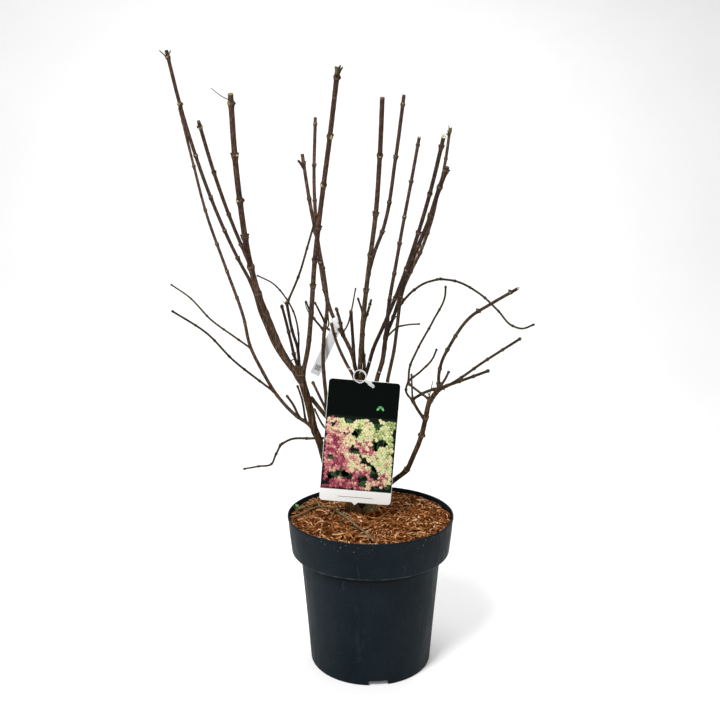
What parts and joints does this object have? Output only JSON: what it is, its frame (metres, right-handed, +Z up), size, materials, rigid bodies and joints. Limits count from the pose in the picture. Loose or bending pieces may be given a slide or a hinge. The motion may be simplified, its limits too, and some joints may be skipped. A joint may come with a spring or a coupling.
{
  "type": "potted hydrangea shrub",
  "caption": "Leafless panicle hydrangea with upright pruned canes and side twigs, in a collared nursery pot of bark mulch, with a hanging plant card.",
  "frame": {"origin": "centre of the pot's flat underside", "axes": "+Z up along the pot's axis; -Y is the front, where the card hangs; +X is to the right seen from the front"},
  "size_m": [0.7768, 0.5468, 1.1873],
  "materials": {
    "pot_plastic": "matte moulded plastic, nearly black with a cool tint, lightly scuffed",
    "bark_mulch": "loose fibrous bark and coir, orange brown",
    "old_wood": "old grey-brown bark, finely cracked",
    "cane_bark": "smooth red-brown young bark with paler rings at the nodes",
    "twig_bark": "smooth light brown bark",
    "dry_twig": "dry grey-brown wood",
    "printed_card": "coated printed card, satin",
    "white_plastic": "thin white plastic"
  },
  "bodies": {
    "root": {"pot": "pot_plastic", "mulch": "bark_mulch", "stool": "old_wood", "trunk_left": "old_wood", "trunk_centre": "old_wood", "trunk_right": "old_wood", "cane_left_thick": "cane_bark", "cane_tall_front": "cane_bark", "cane_left_back": "cane_bark", "cane_left_far": "cane_bark", "cane_left_short": "cane_bark", "cane_centre": "cane_bark", "cane_centre_branch": "cane_bark", "cane_right_thick": "cane_bark", "cane_right_inner": "cane_bark", "cane_right_front": "cane_bark", "cane_right_outer": "cane_bark", "cane_right_back": "cane_bark", "cane_tall_back": "cane_bark", "cane_centre_left": "cane_bark", "bough_right_long": "twig_bark", "bough_right_front": "twig_bark", "bough_right_link": "twig_bark", "bough_right_back": "twig_bark", "hook_foot": "twig_bark", "hook_rise": "twig_bark", "arch_rise": "twig_bark", "arch_fall": "twig_bark", "droop_level": "twig_bark", "droop_fall": "twig_bark", "spur_left": "cane_bark", "spur_middle": "cane_bark", "stub_red": "cane_bark", "stub_fork": "cane_bark", "stub_fork_left": "cane_bark", "stub_cross_thick": "cane_bark", "stub_cross_middle": "cane_bark", "stub_cross_thin": "cane_bark", "stub_outer": "cane_bark", "stub_inner": "cane_bark", "stub_centre_left": "cane_bark", "stub_right_outer": "cane_bark", "stub_right_thin": "cane_bark", "twig_left_upper": "twig_bark", "twig_left_lower": "twig_bark", "twig_arch_left": "twig_bark", "twig_rise_left": "twig_bark", "twig_back_long": "twig_bark", "twig_back_short": "twig_bark", "twig_fork": "twig_bark", "spur_centre_right": "twig_bark", "spur_centre_left": "twig_bark", "twig_right_level": "twig_bark", "twig_right_curl": "twig_bark", "twig_right_spur": "twig_bark", "dead_twig_long": "dry_twig", "dead_twig_short": "dry_twig", "label_card": "printed_card", "label_tie": "white_plastic", "stem_label": "white_plastic"}
  },
  "joints": []
}
